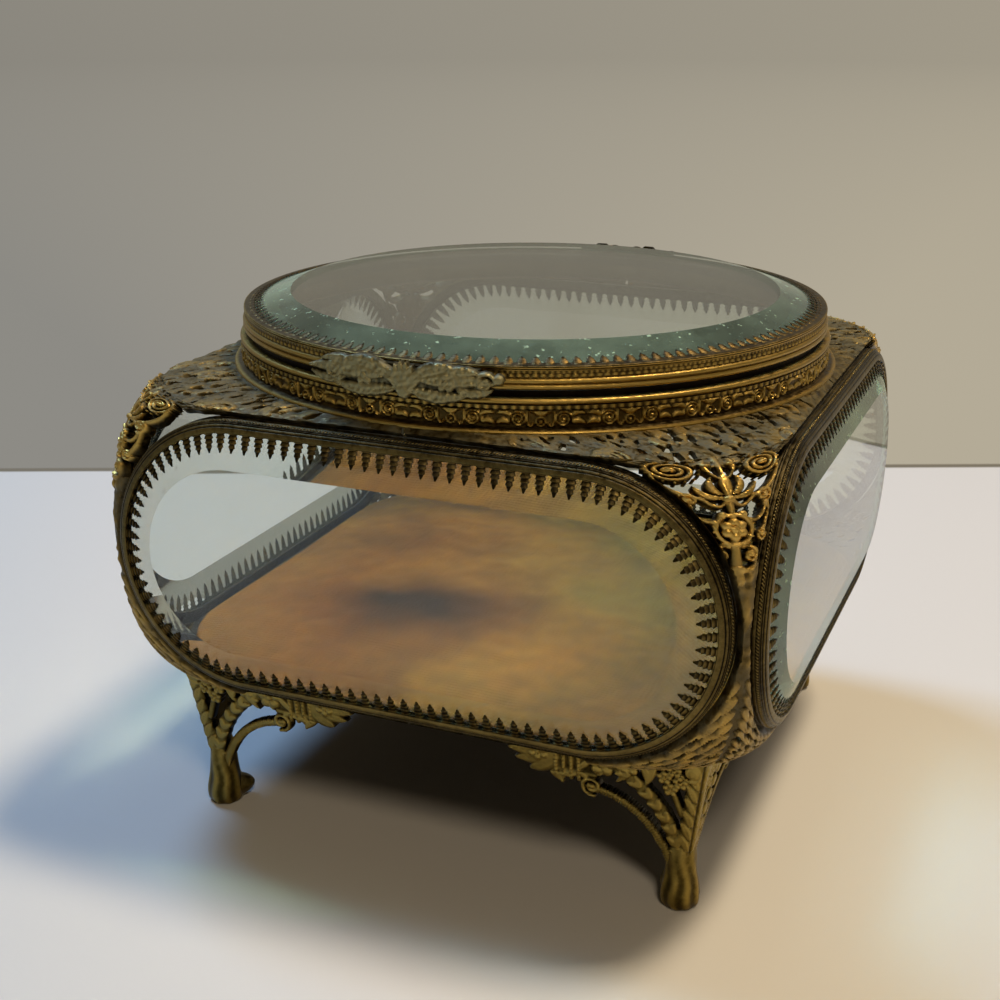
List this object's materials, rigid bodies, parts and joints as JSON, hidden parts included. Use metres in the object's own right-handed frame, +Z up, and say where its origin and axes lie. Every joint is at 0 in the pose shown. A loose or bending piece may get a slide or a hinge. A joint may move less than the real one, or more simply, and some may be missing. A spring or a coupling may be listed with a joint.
{
  "type": "glass casket box",
  "caption": "Square casket box of bevelled oval glass panes in toothed gilt brass bezels, on pierced legs, with a hinged round glass lid and a padded base for papers and keepsakes.",
  "frame": {"origin": "centre of the casket on the surface that its feet stand on", "axes": "+Z up, -Y out of the front panel that the lid's thumb piece is over, +X to the right of the front, hinge at +Y"},
  "size_m": [0.1432, 0.1432, 0.1123],
  "materials": {
    "gilt_brass": "aged gilding, worn and dusty",
    "dark_brass": "tarnished gilding with dust in the relief",
    "bright_brass": "rubbed bright",
    "bevelled_glass": "polished, bevelled edges",
    "aged_silk": "mottled aged silk velvet",
    "card": "plain pressed card"
  },
  "bodies": {
    "casket": {"base_plate": "gilt_brass", "pad_board": "card", "pad": "aged_silk", "corner_front_right": "dark_brass", "corner_back_right": "dark_brass", "corner_back_left": "dark_brass", "corner_front_left": "dark_brass", "bezel_front": "gilt_brass", "bezel_right": "gilt_brass", "bezel_back": "gilt_brass", "bezel_left": "gilt_brass", "pane_front": "bevelled_glass", "pane_right": "bevelled_glass", "pane_back": "bevelled_glass", "pane_left": "bevelled_glass", "leg_front_right": "gilt_brass", "leg_back_right": "gilt_brass", "leg_back_left": "gilt_brass", "leg_front_left": "gilt_brass", "leg_rivets": "bright_brass", "collar": "gilt_brass", "seat_ring": "dark_brass", "hinge_body_leaf": "gilt_brass", "hinge_body_rivets": "bright_brass", "hinge_pin": "bright_brass"},
    "lid": {"lid_bezel": "gilt_brass", "lid_pane": "bevelled_glass", "thumb_piece": "gilt_brass", "thumb_rivets": "bright_brass", "hinge_lid_leaf": "gilt_brass", "hinge_lid_rivets": "bright_brass"}
  },
  "joints": [
    {"name": "lid_hinge", "type": "hinge", "parent": "casket", "child": "lid", "pos_m": [0, 0.0662, 0.1044], "axis": [-1, 0, 0], "range_deg": [0, 100]}
  ]
}
